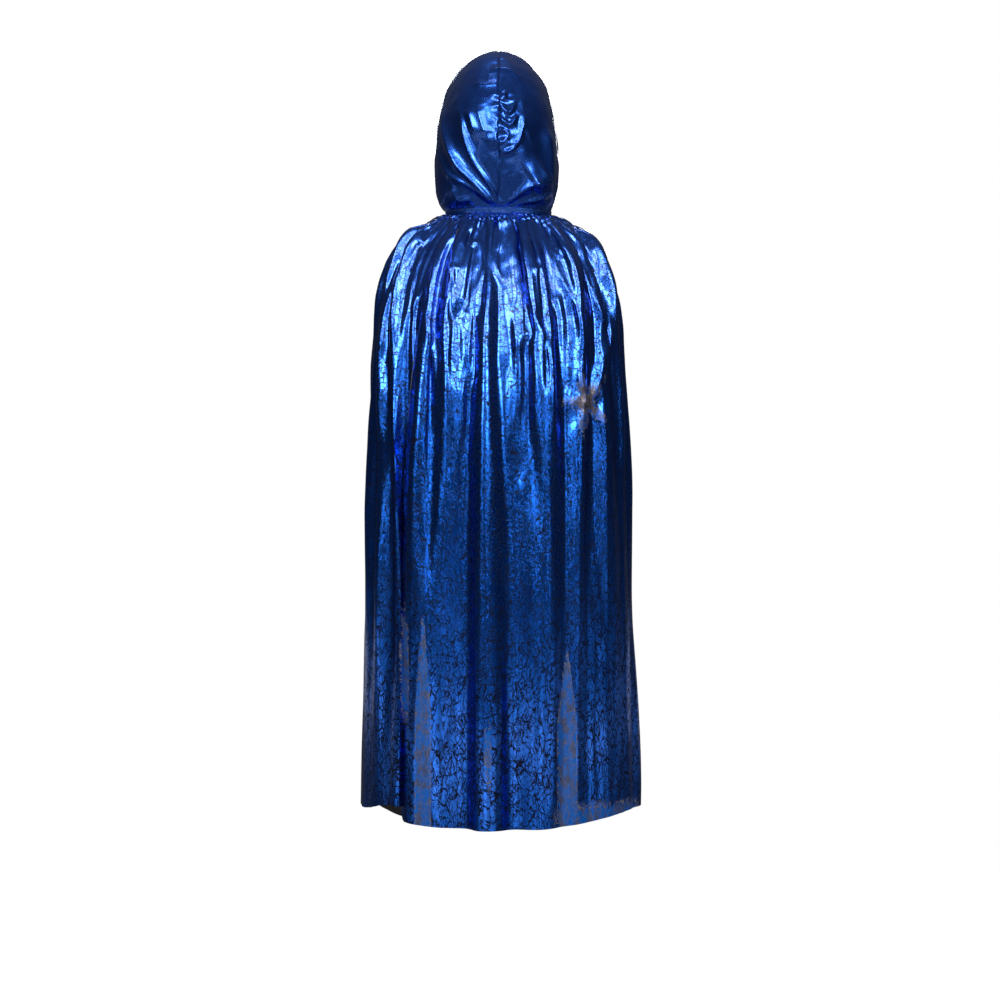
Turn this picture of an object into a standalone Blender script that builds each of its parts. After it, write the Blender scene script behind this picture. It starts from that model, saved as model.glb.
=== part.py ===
"""Hooded costume cape in foil-printed knit, in the shape it takes on a wearer about 1.40 m tall.

Run it with: blender --background --python part.py

Frame: metres, +Z up. The origin is the centre of the neck opening, level with the nape seam.
The front opening faces -Y and the wearer's left side is +X.
Every piece of cloth is a flat grid that a function drapes into place, thickened by Solidify.
"""

import math

import bpy
from mathutils import Vector

# ---- driving dimensions -------------------------------------------------------------------------

CLOTH = 0.0016  # thickness that stands for the knit, its foil and its loft
TRIM = 0.0012  # thickness of tapes, facings and turned hems
SEWN_GAP = 0.0004  # clearance between two pieces that are sewn together
TRIM_GAP = 0.0009  # clearance between a panel and a trim on its curved inner face

NECK_HALF_WIDTH = 0.083
NECK_BACK = 0.061
NECK_FRONT = 0.063
THROAT_DIP = 0.040  # how far the pit of the throat lies below the nape
BAND_HEIGHT = 0.012

# Three lines down the drape, as (reach from the middle, height), from the neck to the hem.
SIDE_LINE = (
    (0.0834, -0.0008), (0.125, -0.018), (0.162, -0.050), (0.186, -0.122),
    (0.199, -0.230), (0.207, -0.420), (0.2125, -0.650), (0.2195, -0.926),
)
BACK_LINE = (
    (0.0614, -0.0008), (0.079, -0.038), (0.096, -0.095), (0.111, -0.170),
    (0.120, -0.275), (0.127, -0.450), (0.135, -0.670), (0.146, -0.946),
)
FRONT_LINE = (
    (0.0634, -0.0408), (0.082, -0.075), (0.100, -0.130), (0.113, -0.200),
    (0.121, -0.290), (0.126, -0.460), (0.129, -0.670), (0.134, -0.932),
)
FOLDS = 14  # broad folds all round, with a valley at each side seam
NECK_FOLD = 0.0012  # half depth of a fold at the neck and at the hem
HEM_FOLD = 0.0085
FRONT_GAP_NECK = 0.024  # width of the front opening
FRONT_GAP_HEM = 0.104

HEM_DEPTH = 0.014

TAPE_HEIGHT = 0.018
TAB_TURN = math.radians(26)  # the closure tab reaches this far either side of the throat
TAB_HEIGHT = 0.0096
PATCH_START = math.radians(12)
PATCH_END = math.radians(24)
PATCH_HEIGHT = 0.008

# Three lines up the left half of the hood, from the neck over the crown to the brow.
SEAM_LINE = (  # the centre seam: (y, z)
    (0.061, 0.0124), (0.078, 0.045), (0.093, 0.090), (0.098, 0.140),
    (0.089, 0.192), (0.058, 0.238), (0.000, 0.267), (-0.108, 0.255),
)
WIDE_LINE = (  # where the hood is widest: (x, y, z)
    (0.0830, 0.000, 0.0124), (0.0930, 0.000, 0.042), (0.0960, -0.003, 0.080), (0.0935, -0.008, 0.122),
    (0.0870, -0.016, 0.167), (0.0750, -0.030, 0.208), (0.0510, -0.055, 0.241), (0.0125, -0.112, 0.254),
)
FACE_LINE = (  # the edge of the face opening, above the throat: (x, y, z)
    (0.0460, -0.082, 0.012), (0.0640, -0.097, 0.055), (0.0700, -0.108, 0.098), (0.0670, -0.115, 0.142),
    (0.0550, -0.119, 0.186), (0.0340, -0.120, 0.223), (0.0110, -0.117, 0.2525),
)
SEAM_ALLOWANCE = 0.007

# Grids. A fold takes six columns, and trims keep to the columns and rows of the panel they lie on.
BACK_COLUMNS = 42
FRONT_COLUMNS = 20
CAPE_ROWS = 14
NECK_COLUMNS = 48
HOOD_COLUMNS = 14
HOOD_ROWS = 14

FOIL_BLUE = (0.010, 0.085, 0.420)
KNIT_BLACK = (0.020, 0.020, 0.026)
TAPE_NAVY = (0.012, 0.020, 0.070)
HOOK_BLACK = (0.015, 0.015, 0.018)

HEM_SHARE = HEM_DEPTH / (SIDE_LINE[-2][1] - SIDE_LINE[-1][1]) / (len(SIDE_LINE) - 1)
THROAT_TURN = math.pi - math.asin(FRONT_GAP_NECK / 2 / NECK_HALF_WIDTH)


def clear_scene():
    for old in list(bpy.data.objects):
        bpy.data.objects.remove(old, do_unlink=True)


def material(name, colour, roughness, metallic):
    made = bpy.data.materials.new(name)
    made.use_nodes = True
    shader = made.node_tree.nodes["Principled BSDF"]
    shader.inputs["Base Color"].default_value = (*colour, 1.0)
    shader.inputs["Roughness"].default_value = roughness
    shader.inputs["Metallic"].default_value = metallic
    return made


def mix(a, b, share):
    return a + (b - a) * share


def along(points, share):
    """A point on the Catmull-Rom curve through these points, with share running from 0 to 1."""
    place = share * (len(points) - 1)
    i = min(max(int(place), 0), len(points) - 2)
    f = place - i
    p1, p2 = Vector(points[i]), Vector(points[i + 1])
    p0 = Vector(points[i - 1]) if i > 0 else p1 * 2 - p2
    p3 = Vector(points[i + 2]) if i + 2 < len(points) else p2 * 2 - p1
    bend = p0 * 2 - p1 * 5 + p2 * 4 - p3
    twist = p1 * 3 - p0 - p2 * 3 + p3
    return 0.5 * (p1 * 2 + (p2 - p0) * f + bend * f**2 + twist * f**3)


# ---- shapes -------------------------------------------------------------------------------------

def neck_point(turn, rise=0.0, out=0.0):
    """A point of the neckline. turn is 0 at the nape and pi at the throat, positive on the left."""
    depth = NECK_BACK if math.cos(turn) > 0 else NECK_FRONT
    x, y = NECK_HALF_WIDTH * math.sin(turn), depth * math.cos(turn)
    outward = Vector((math.sin(turn) / NECK_HALF_WIDTH, math.cos(turn) / depth, 0)).normalized()
    dip = THROAT_DIP if math.cos(turn) < 0 else 0.0
    return Vector((x, y, rise - dip * math.cos(turn) ** 2)) + outward * out


def cape_point(turn, share):
    """The cape's outer face. turn is as for the neckline, share runs from the neck to the hem."""
    side = along(SIDE_LINE, share)
    end = along(BACK_LINE if math.cos(turn) >= 0 else FRONT_LINE, share)
    across, forth = math.sin(turn), math.cos(turn)
    squareness = 1 - 0.16 * share
    x = side.x * math.copysign(abs(across) ** squareness, across)
    y = end.x * math.copysign(abs(forth) ** squareness, forth)
    z = mix(side.y, end.y, forth**2)
    outward = Vector((across / side.x, forth / end.x, 0)).normalized()
    depth = mix(NECK_FOLD, HEM_FOLD, min(1.0, share * 1.6))
    fold = depth * (1 + math.cos(FOLDS * turn)) - depth * share
    return Vector((x, y, z)) + outward * (CLOTH + fold)


def front_turn(share):
    """The turn at which the left front's opening edge lies."""
    half_gap = mix(FRONT_GAP_NECK, FRONT_GAP_HEM, share) / 2
    return math.pi - math.asin(half_gap / along(SIDE_LINE, share).x)


def side_turn(share):
    """The turn between the side plane and the edge of a panel that is seamed there."""
    return math.asin(SEWN_GAP / along(SIDE_LINE, share).x)


def hood_point(across, up):
    """The left half of the hood. across runs from the centre seam, 0, to the face edge, 1."""
    seam = along(SEAM_LINE, up)
    wide = along(WIDE_LINE, up)
    throat = neck_point(THROAT_TURN, BAND_HEIGHT + SEWN_GAP)
    edge = along((throat, *FACE_LINE), up)
    if across <= 0.5:
        angle = across * math.pi
        rise = mix(math.cos(angle) ** 2, math.cos(angle), up)
        point = Vector((
            wide.x * math.sin(angle),
            mix(wide.y, seam.x, math.cos(angle)),
            mix(wide.z, seam.y, rise),
        ))
    else:
        last = math.acos(edge.x / wide.x)
        angle = (across - 0.5) * 2 * last
        part = math.sin(angle) / math.sin(last)
        point = Vector((
            wide.x * math.cos(angle),
            mix(wide.y, edge.y, part),
            mix(wide.z, edge.z, part**2),
        ))
    return point + Vector((SEWN_GAP, 0, 0))


def inset(surface, u, v, depth):
    """The point this far inside a surface whose u runs rightwards seen from outside."""
    step = 1e-3
    along_u = surface(u + step, v) - surface(u - step, v)
    along_v = surface(u, v + step) - surface(u, v - step)
    return surface(u, v) - along_u.cross(along_v).normalized() * depth


# ---- pieces -------------------------------------------------------------------------------------
# Each place(u, v) gives a piece's outer face. Seen from outside, u runs rightwards and v upwards.

def back_place(u, v):
    reach = math.pi / 2 - side_turn(1 - v)
    return cape_point(mix(reach, -reach, u), 1 - v)


def left_front_place(u, v):
    """The left front, from its opening edge, u = 0, to the side seam, u = 1."""
    return cape_point(mix(front_turn(1 - v), math.pi / 2 + side_turn(1 - v), u), 1 - v)


def back_hem_place(u, v):
    return inset(back_place, u, v * HEM_SHARE, CLOTH + TRIM_GAP)


def left_front_hem_place(u, v):
    return inset(left_front_place, u, v * HEM_SHARE, CLOTH + TRIM_GAP)


def above_hem(v):
    """The same height, kept clear of the hem below and of the neck band above."""
    return min(max(v, HEM_SHARE + 0.002), 0.99)


def left_facing_place(u, v):
    """The turned opening edge of the left front, one column wide, on its inner face."""
    return inset(left_front_place, u / FRONT_COLUMNS, above_hem(v), CLOTH + TRIM_GAP)


def left_seam_place(u, v):
    """The overlocked edges of the left side seam, pressed to the back panel's inner face."""
    return inset(back_place, u / BACK_COLUMNS, above_hem(v), CLOTH + TRIM_GAP)


def band_place(u, v):
    return neck_point(mix(THROAT_TURN, -THROAT_TURN, u), v * BAND_HEIGHT)


def tape_place(u, v):
    rise = (BAND_HEIGHT - TAPE_HEIGHT) / 2 + v * TAPE_HEIGHT
    return neck_point(mix(THROAT_TURN, -THROAT_TURN, u), rise, -CLOTH - SEWN_GAP)


def patch_place(out):
    """A patch over the right end of the neck band, this far out from the band's face."""
    def place(u, v):
        turn = math.pi + mix(PATCH_END, PATCH_START, u)
        return neck_point(turn, (BAND_HEIGHT - PATCH_HEIGHT) / 2 + v * PATCH_HEIGHT, out)
    return place


LOOP_OUT = SEWN_GAP + TRIM
HOOK_OUT = LOOP_OUT + SEWN_GAP + TRIM
TAB_OUT = HOOK_OUT + SEWN_GAP + CLOTH


def tab_place(u, v):
    """The closure tab, from over the patches on the right, u = 0, to its sewn end on the left."""
    out = mix(TAB_OUT, SEWN_GAP + CLOTH, min(max(u * 3 - 1.5, 0), 1))
    turn = math.pi + mix(TAB_TURN, -TAB_TURN, u)
    return neck_point(turn, (BAND_HEIGHT - TAB_HEIGHT) / 2 + v * TAB_HEIGHT, out)


def hood_left_place(u, v):
    """The left half of the hood, from the face edge, u = 0, to the centre seam, u = 1."""
    return hood_point(1 - u, v)


def within_hood(v):
    """The same height, kept clear of the neck band and of the brow."""
    return min(max(v, 0.03), 0.96)


def face_hem_place(u, v):
    """The turned edge of the face opening, one column wide, on the hood's inner face."""
    return inset(hood_left_place, u / HOOD_COLUMNS, within_hood(v), CLOTH + TRIM_GAP)


def centre_seam_place(u, v):
    """The overlocked edges of the hood's seam, which stand inwards in the middle plane."""
    here, ahead = along(SEAM_LINE, within_hood(v)), along(SEAM_LINE, within_hood(v) + 0.01)
    tangent = (ahead - here).normalized()
    depth = CLOTH + 2 * TRIM_GAP + u * SEAM_ALLOWANCE
    return Vector((TRIM / 2, here.x - tangent.y * depth, here.y + tangent.x * depth))


# ---- building -----------------------------------------------------------------------------------

def sheet(name, columns, rows, place, thickness, finish, collection):
    """A flat grid of columns by rows, draped by place(u, v) and thickened inwards."""
    bpy.ops.mesh.primitive_grid_add(x_subdivisions=columns, y_subdivisions=rows, size=1)
    obj = bpy.context.object
    obj.name = name
    for vertex in obj.data.vertices:
        vertex.co = place(vertex.co.x + 0.5, vertex.co.y + 0.5)
    solidify = obj.modifiers.new("cloth", "SOLIDIFY")
    solidify.thickness = thickness
    solidify.offset = -1
    obj.data.shade_smooth()
    obj.data.materials.append(finish)
    for holder in obj.users_collection:
        holder.objects.unlink(obj)
    collection.objects.link(obj)


def both_sides(name, columns, rows, place, thickness, finish, collection):
    """The sheet on the wearer's left and its mirror on the right. name holds {} for the side."""
    def mirrored(u, v):
        point = place(1 - u, v)
        return Vector((-point.x, point.y, point.z))

    sheet(name.format("left"), columns, rows, place, thickness, finish, collection)
    sheet(name.format("right"), columns, rows, mirrored, thickness, finish, collection)


def build_cape(cloth, trim, collection):
    sheet("back_panel", BACK_COLUMNS, CAPE_ROWS, back_place, CLOTH, cloth, collection)
    sheet("back_hem", BACK_COLUMNS, 1, back_hem_place, TRIM, trim, collection)
    both_sides(
        "{}_front_panel", FRONT_COLUMNS, CAPE_ROWS, left_front_place, CLOTH, cloth, collection,
    )
    both_sides("{}_front_hem", FRONT_COLUMNS, 1, left_front_hem_place, TRIM, trim, collection)
    both_sides("{}_front_facing", 1, CAPE_ROWS, left_facing_place, TRIM, trim, collection)
    both_sides("{}_side_seam", 1, CAPE_ROWS, left_seam_place, TRIM, trim, collection)


def build_neck(cloth, tape, hook, collection):
    sheet("neck_band", NECK_COLUMNS, 1, band_place, CLOTH, cloth, collection)
    sheet("neck_tape", NECK_COLUMNS, 1, tape_place, TRIM, tape, collection)
    sheet("loop_patch", 6, 1, patch_place(LOOP_OUT), TRIM, tape, collection)
    sheet("hook_patch", 6, 1, patch_place(HOOK_OUT), TRIM, hook, collection)
    sheet("neck_tab", 24, 1, tab_place, CLOTH, cloth, collection)


def build_hood(cloth, trim, collection):
    both_sides("hood_{}_panel", HOOD_COLUMNS, HOOD_ROWS, hood_left_place, CLOTH, cloth, collection)
    both_sides("hood_{}_face_hem", 1, HOOD_ROWS, face_hem_place, TRIM, trim, collection)
    sheet("hood_centre_seam", 1, HOOD_ROWS, centre_seam_place, TRIM, trim, collection)


def main():
    clear_scene()
    cape = bpy.data.collections.new("hooded_cape")
    bpy.context.scene.collection.children.link(cape)
    cloth = material("foil_knit", FOIL_BLUE, 0.35, 0.8)
    trim = material("knit_reverse", KNIT_BLACK, 0.85, 0.0)
    tape = material("neck_tape", TAPE_NAVY, 0.8, 0.0)
    hook = material("hook_nylon", HOOK_BLACK, 0.6, 0.0)
    build_cape(cloth, trim, cape)
    build_neck(cloth, tape, hook, cape)
    build_hood(cloth, trim, cape)


main()
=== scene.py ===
"""The looks of the hooded costume cape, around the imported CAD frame.

The cloth is draped in three steps: a grid is laid on lines that run down the drape, with the main
folds laid in; Blender's Cloth relaxes it over a dress form; then the settled grid is made finer and
gets its gathers, puckers and small wrinkles. Hems, tapes and stitches follow the finished cloth.

Frame: metres, +Z up, the front opening towards -Y, the wearer's left at +X.
"""

import math

import bmesh
import bpy
import numpy as np
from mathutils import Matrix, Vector, noise


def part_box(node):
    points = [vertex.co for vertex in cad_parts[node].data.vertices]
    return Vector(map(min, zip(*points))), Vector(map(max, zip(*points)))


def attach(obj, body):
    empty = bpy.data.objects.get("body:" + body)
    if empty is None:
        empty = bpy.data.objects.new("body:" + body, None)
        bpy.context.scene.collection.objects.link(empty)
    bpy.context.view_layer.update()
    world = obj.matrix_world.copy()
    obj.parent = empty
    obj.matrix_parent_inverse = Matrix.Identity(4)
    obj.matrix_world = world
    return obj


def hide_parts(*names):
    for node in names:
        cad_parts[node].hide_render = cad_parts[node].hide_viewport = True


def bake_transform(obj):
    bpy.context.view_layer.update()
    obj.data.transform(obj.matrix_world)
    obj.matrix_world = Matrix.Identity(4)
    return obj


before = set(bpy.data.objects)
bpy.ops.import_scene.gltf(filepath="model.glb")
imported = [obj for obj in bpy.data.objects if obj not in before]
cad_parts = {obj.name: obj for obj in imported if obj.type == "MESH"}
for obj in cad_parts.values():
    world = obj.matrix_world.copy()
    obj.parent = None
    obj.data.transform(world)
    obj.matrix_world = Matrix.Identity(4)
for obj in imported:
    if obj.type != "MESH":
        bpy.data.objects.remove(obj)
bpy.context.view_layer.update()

# ---- driving dimensions -------------------------------------------------------------------------

NECK_HALF_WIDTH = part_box("neck_band")[1].x
NECK_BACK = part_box("neck_band")[1].y
NECK_FRONT = -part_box("neck_band")[0].y
THROAT_DIP = -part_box("neck_band")[0].z
BAND_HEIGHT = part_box("neck_band")[1].z
HALF_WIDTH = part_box("back_panel")[1].x - 0.004
BACK_DROP = -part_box("back_panel")[0].z

# Lines down the drape as (reach, height), each a share of the cape's half width and of its drop.
SIDE_LINE = (
    (0.375, 0.000), (0.550, -0.018), (0.710, -0.049), (0.825, -0.123),
    (0.882, -0.235), (0.918, -0.430), (0.948, -0.680), (0.978, -0.974),
)
BACK_LINE = (
    (0.274, 0.000), (0.345, -0.036), (0.418, -0.095), (0.485, -0.175),
    (0.530, -0.285), (0.558, -0.470), (0.592, -0.705), (0.642, -1.000),
)
FRONT_LINE = (
    (0.283, -0.042), (0.360, -0.076), (0.440, -0.135), (0.500, -0.208),
    (0.535, -0.302), (0.556, -0.480), (0.570, -0.700), (0.592, -0.984),
)
FRONT_GAP_NECK = 0.024
FRONT_GAP_HEM = 0.104
CUT_WIDTH = 1.24  # the cape's cloth as cut, at the hem
CUT_LENGTH = 0.975
# The hood's and the neck's cloth lies beside the cape's, so that the cracks in its foil differ.
HOOD_CUT_PLACE = 3.0
HOOD_CUT_HALF = 0.30
HOOD_CUT_HEIGHT = 0.42  # from the neck over the crown to the brow
NECK_CUT_PLACE = 2.0

SIM_COLUMNS = 141
SIM_ROWS = 84
SIM_FRAMES = 30
FORM_INSET = 0.004  # how far the dress form lies inside the drape lines
FINE_COLUMNS = 3  # the settled grid is made this many times finer across
FINE_ROWS = 2

CLOTH = 0.0010
RIM_ANGLE = math.radians(55)  # a cut edge is crisp, and everything flatter is smooth
TRIM_INSET = 0.0020
HEM_ROWS = 4
FACING_COLUMNS = 6
SEAM_COLUMNS = 3
SEAM_REACH = 7  # columns by which a side seam's strip reaches under the front
BAND_COLUMNS = 241
PATCH_COLUMNS = 21
TAB_COLUMNS = 61
TAPE_HEIGHT = 0.018
NECK_LEAN = 0.0022  # how far a strip's top stands out past its foot
TAB_TURN = math.radians(26)
TAB_HEIGHT = 0.0096
PATCH_START = math.radians(12)
PATCH_END = math.radians(24)
PATCH_HEIGHT = 0.008
PATCH_THICK = 0.0012
PATCH_GAP = 0.0004
TAPE_INSET = 0.0024
TAB_THICK = 0.0012
TAB_OVER_BAND = 0.0018  # how far the tab stands out where it is sewn to the band
TAB_OVER_HOOKS = 0.0026  # how far its face stands out past the patches
STRIP_ROWS = 7  # rows of points from the top of a strip round the neck to its foot
STRIP_PUFF = 0.0001
STRIP_WAVE = 0.0002
STITCH = 0.0030  # from the middle of one stitch to the middle of the next
STITCH_HALF = 0.0011
THREAD_HALF = 0.0003
THREAD_HIGH = 0.0005  # how far a stitch stands out of the cloth
THREAD_DEEP = 0.0002  # how far it sinks in

# The main folds as (turn, half width, depth) at the shoulders, then the same at the hem: degrees
# from the nape, positive on the wearer's left, and metres.
FOLDS = (
    (166, 6, 0.010, 165, 7, 0.014), (150, 7, 0.013, 149, 8, 0.018), (133, 7, 0.014, 132, 8, 0.017),
    (117, 6, 0.013, 116, 7, 0.016), (101, 6, 0.014, 101, 7, 0.015), (84, 5, 0.012, 76, 5, 0.012),
    (72, 4, 0.014, 61, 4, 0.012), (59, 5, 0.016, 48, 3, 0.012), (36, 4, 0.013, 36, 5, 0.004),
    (20, 8, 0.013, 25, 10, 0.011), (25, 2, 0.003, 14, 4, 0.002), (4, 2.5, 0.009, 3.5, 8, 0.010),
    (-9, 2, 0.004, -4, 4, 0.001), (-18, 9, 0.014, -18, 9, 0.011), (-25, 2, 0.003, -25, 5, 0.002),
    (-43, 6, 0.013, -35, 4, 0.010), (-57, 3, 0.008, -56, 8, 0.011), (-70, 5, 0.015, -71, 4, 0.010),
    (-84, 5, 0.012, -84, 6, 0.012), (-101, 6, 0.014, -101, 7, 0.015), (-117, 6, 0.013, -116, 7, 0.016),
    (-133, 7, 0.014, -132, 8, 0.017), (-150, 7, 0.013, -149, 8, 0.018), (-166, 6, 0.010, -165, 7, 0.014),
)
LAP_TURN = 0.74  # where the back's middle laps over its left side, low down
LAP_WIDTH = 0.075
LAP_REACH = 0.018
LAP_LIFT = 0.008
LAP_CORNER = 0.021  # how far the hem is lifted at the lap's corner, and beside it
LAP_FLAP = 0.010  # how far the layer inside the lap hangs lower again
FRONT_DROP = 0.036  # how much lower the fronts' hems hang than the drape alone
FOLD_WANDER = 1.6  # degrees that a fold strays to each side on its way down
GATHERS = 52  # fine gathers all round the neck
GATHER_DEPTH = 0.0018
BUNCH_DEPTH = 0.0016  # the wider gathers, which run further down
LONG_FOLD_DEPTH = 0.0022
PLEAT_DEPTH = 0.0009
WRINKLE_DEPTH = 0.0006
STAR_CRUMPLE = 0.0022  # how deep the cloth is crumpled round the worn star
CREST = 0.0009  # how round the crest of a crease or ridge is
# Creases across the upper back: height, half width, then the points each runs through as (x, z).
CREASES = (
    (0.0060, 0.008, (-0.176, -0.175), (-0.160, -0.235), (-0.144, -0.290)),
    (0.0040, 0.006, (-0.120, -0.060), (-0.140, -0.110), (-0.166, -0.170)),
    (0.0040, 0.006, (-0.082, -0.040), (-0.092, -0.090), (-0.122, -0.150), (-0.132, -0.210)),
    (0.0045, 0.007, (-0.050, -0.150), (-0.078, -0.220), (-0.082, -0.300)),
    (0.0035, 0.005, (0.000, -0.040), (0.006, -0.075), (-0.006, -0.110)),
    (0.0035, 0.005, (0.030, -0.030), (0.022, -0.080), (0.034, -0.130), (0.030, -0.200)),
    (0.0040, 0.006, (0.060, -0.030), (0.072, -0.080), (0.064, -0.140)),
    (0.0045, 0.006, (0.086, -0.030), (0.104, -0.090), (0.132, -0.150)),
    (0.0050, 0.008, (0.112, -0.150), (0.096, -0.240), (0.092, -0.330)),
    (0.0040, 0.006, (0.150, -0.080), (0.176, -0.150), (0.184, -0.220)),
    (0.0035, 0.006, (-0.020, -0.150), (-0.034, -0.250), (-0.026, -0.330)),
    (0.0030, 0.006, (0.050, -0.200), (0.036, -0.300), (0.044, -0.400)),
)

# Three lines up the left half of the hood, from the neck over the crown to the brow.
HOOD_SEAM = (  # the centre seam: (y, z)
    (0.061, 0.0124), (0.078, 0.045), (0.093, 0.090), (0.098, 0.140),
    (0.089, 0.192), (0.058, 0.238), (0.000, 0.267), (-0.108, 0.255),
)
HOOD_SIDE = (  # where the hood is widest: (x, y, z)
    (0.0830, 0.000, 0.0124), (0.0930, 0.000, 0.042), (0.0960, -0.003, 0.080), (0.0935, -0.008, 0.122),
    (0.0870, -0.016, 0.167), (0.0750, -0.030, 0.208), (0.0510, -0.055, 0.241), (0.0125, -0.112, 0.254),
)
HOOD_FACE = (  # the edge of the face opening, above the throat: (x, y, z)
    (0.0460, -0.082, 0.012), (0.0640, -0.097, 0.055), (0.0700, -0.108, 0.098), (0.0670, -0.115, 0.142),
    (0.0550, -0.119, 0.186), (0.0340, -0.120, 0.223), (0.0110, -0.117, 0.2525),
)
HOOD_COLUMNS = 241
HOOD_ROWS = 230
HOOD_LEAN = 0.005  # how far the hood's left side stands wider than its right
HOOD_BUNCH = 0.4  # how much closer the hood's columns lie at the seam than at the face
HOOD_SWELL = 0.0030  # the depth of the hood's broad unevenness
HOOD_WRINKLE = 0.0008
HOOD_PUCKER = 0.0034  # the depth of the puckers beside the centre seam
HOOD_GROOVE = 0.0016  # the depth of the centre seam's groove
HOOD_GROOVE_HALF = 0.0018
# Ridges on the back of the hood: height, half width, then the points it runs through as (x, z).
HOOD_RIDGES = (
    (0.0095, 0.0055, (0.083, 0.172), (0.078, 0.126), (0.062, 0.080), (0.031, 0.044), (-0.006, 0.006)),
    (0.0070, 0.0040, (0.055, 0.160), (0.048, 0.114), (0.036, 0.078), (0.014, 0.044), (-0.008, 0.008)),
    (0.0055, 0.0050, (0.088, 0.092), (0.074, 0.064), (0.050, 0.048), (0.024, 0.030), (0.004, 0.008)),
    (0.0045, 0.0070, (0.044, 0.160), (0.036, 0.124)),
    (0.0100, 0.0100, (-0.074, 0.134), (-0.079, 0.095), (-0.079, 0.052)),
    (0.0150, 0.0290, (-0.076, 0.062), (-0.064, 0.056), (-0.050, 0.048)),
    (0.0065, 0.0050, (-0.082, 0.052), (-0.050, 0.046), (-0.028, 0.030), (-0.008, 0.012)),
    (0.0050, 0.0040, (-0.084, 0.040), (-0.062, 0.026), (-0.028, 0.014), (-0.052, 0.004)),
    (0.0050, 0.0040, (-0.040, 0.147), (-0.034, 0.118), (-0.022, 0.098), (-0.004, 0.090)),
    (0.0045, 0.0035, (-0.030, 0.150), (-0.018, 0.134), (-0.004, 0.140)),
    (0.0045, 0.0035, (-0.026, 0.168), (-0.016, 0.152), (-0.002, 0.160)),
    (0.0040, 0.0035, (-0.010, 0.186), (-0.006, 0.172), (0.004, 0.180)),
    (0.0050, 0.0110, (0.030, 0.168), (0.022, 0.130), (0.008, 0.104)),
    (0.0035, 0.0050, (0.014, 0.222), (-0.012, 0.224), (-0.030, 0.210)),
    (0.0035, 0.0060, (0.036, 0.200), (0.016, 0.196), (0.000, 0.198)),
    (0.0040, 0.0050, (0.072, 0.052), (0.060, 0.026), (0.040, 0.024)),
)

# Where the foil has rubbed off the back: (x, z at the top, z at the foot, half width at the foot).
WORN = (
    (0.143, -0.583, -0.760, 0.006), (0.114, -0.600, -0.960, 0.011),
    (-0.104, -0.655, -0.935, 0.014), (0.016, -0.745, -0.860, 0.003),
)
WORN_STAR = (-0.134, -0.290, 0.023)  # its middle as (x, z), and its size
WORN_HEM = (-0.215, -0.085, -0.905)  # where it has rubbed off the hem: x from and to, and z at the top

KNIT_BLACK = (0.003, 0.005, 0.018)  # the knit that shows in the cracks
CRACK_DUST = (0.13, 0.13, 0.16)  # the cracks beside a rubbed place
CRACKS = (  # cells to the metre, half width, seed, and from what noise on the cracks show
    (88.0, 0.054, 1.3, 0.40), (135.0, 0.066, 2.6, 0.45),
)
SCRIBBLES = (  # swings to the metre, half width, seed
    (85.0, 0.017, 3.1), (55.0, 0.011, 4.7), (115.0, 0.020, 5.9),
)
# Each pair is the two ends of a mottled colour.
# Painted light: the upper pair is redder and a little paler than the lower, which whitens the highlights
# on the lit upper back.
FOIL_PAINTED_PALE_UPPER = ((0.015, 0.077, 0.40), (0.032, 0.146, 0.67))
FOIL_LOWER = ((0.005, 0.074, 0.39), (0.013, 0.140, 0.66))
RUBBED_GREY = (0.060, 0.078, 0.150)
RUBBED_BLUE = ((0.014, 0.082, 0.36), (0.002, 0.106, 0.47))  # higher up, and near the hem
FADED = ((0.030, 0.026, 0.030), (0.120, 0.098, 0.098))

CAMERA_PLACE = (-0.0024, 3.30, -0.441)
LENS = 75.4
FLOOR_MIDDLE = (0, 2.2, -1.147)
FLOOR_GLOW = 0.10
FLOOR_SHINE = 1.0  # the glow as the camera sees it
FLOOR_DULL = (0.30, 0.30, 0.31)  # its colour as the foil sees it
STUDIO_DIM = (0.045, 0.050, 0.062)
STUDIO_CEILING = (0.190, 0.205, 0.235)
LIGHTS = (  # name, place, width, height, power, and where it points
    ("left_box", (1.9, 3.3, 1.1), 1.0, 1.3, 12, (0, 0, -0.2)),
    ("right_box", (-1.9, 3.3, 1.1), 1.0, 1.3, 12, (0, 0, -0.2)),
    ("top_box", (0, 3.5, 1.35), 1.6, 1.0, 8, (0, 0, -0.2)),
    ("overhead", (0, 0.1, 2.6), 1.6, 0.25, 2.0, (0, 0.1, 0)),
    ("front_box", (0, -3.8, 1.0), 1.5, 1.3, 12, (0, 0, -0.2)),
)
LIGHT_SPREAD = math.radians(80)
LOW_CARDS = 8
LOW_CARD_FAR = 4.2
LOW_CARD_HEIGHT = 0.28
LOW_CARD_POWER = 1.9  # behind the wearer, and less towards the front
LOW_CARD_LEAST = 0.15  # the share of that power which the cards in front have


# ---- small helpers ------------------------------------------------------------------------------

def mix(a, b, share):
    """a where share is 0, b where it is 1."""
    return a + (b - a) * share


def smooth(low, high, value):
    """0 below low, 1 above high, and smooth between them."""
    share = np.clip((value - low) / (high - low), 0, 1)
    return share * share * (3 - 2 * share)


def along(points, share):
    """Points on the Catmull-Rom curve through these points, with share running from 0 to 1."""
    points = np.asarray(points, float)
    points = np.concatenate([2 * points[:1] - points[1:2], points, 2 * points[-1:] - points[-2:-1]])
    place = np.asarray(share, float) * (len(points) - 3)
    i = np.clip(place.astype(int), 0, len(points) - 4)
    f = (place - i).reshape(place.shape + (1,) * (points.ndim - 1))
    p0, p1, p2, p3 = (points[i + k] for k in range(4))
    bend = 2 * p0 - 5 * p1 + 4 * p2 - p3
    twist = 3 * p1 - p0 - 3 * p2 + p3
    return 0.5 * (2 * p1 + (p2 - p0) * f + bend * f**2 + twist * f**3)


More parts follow.
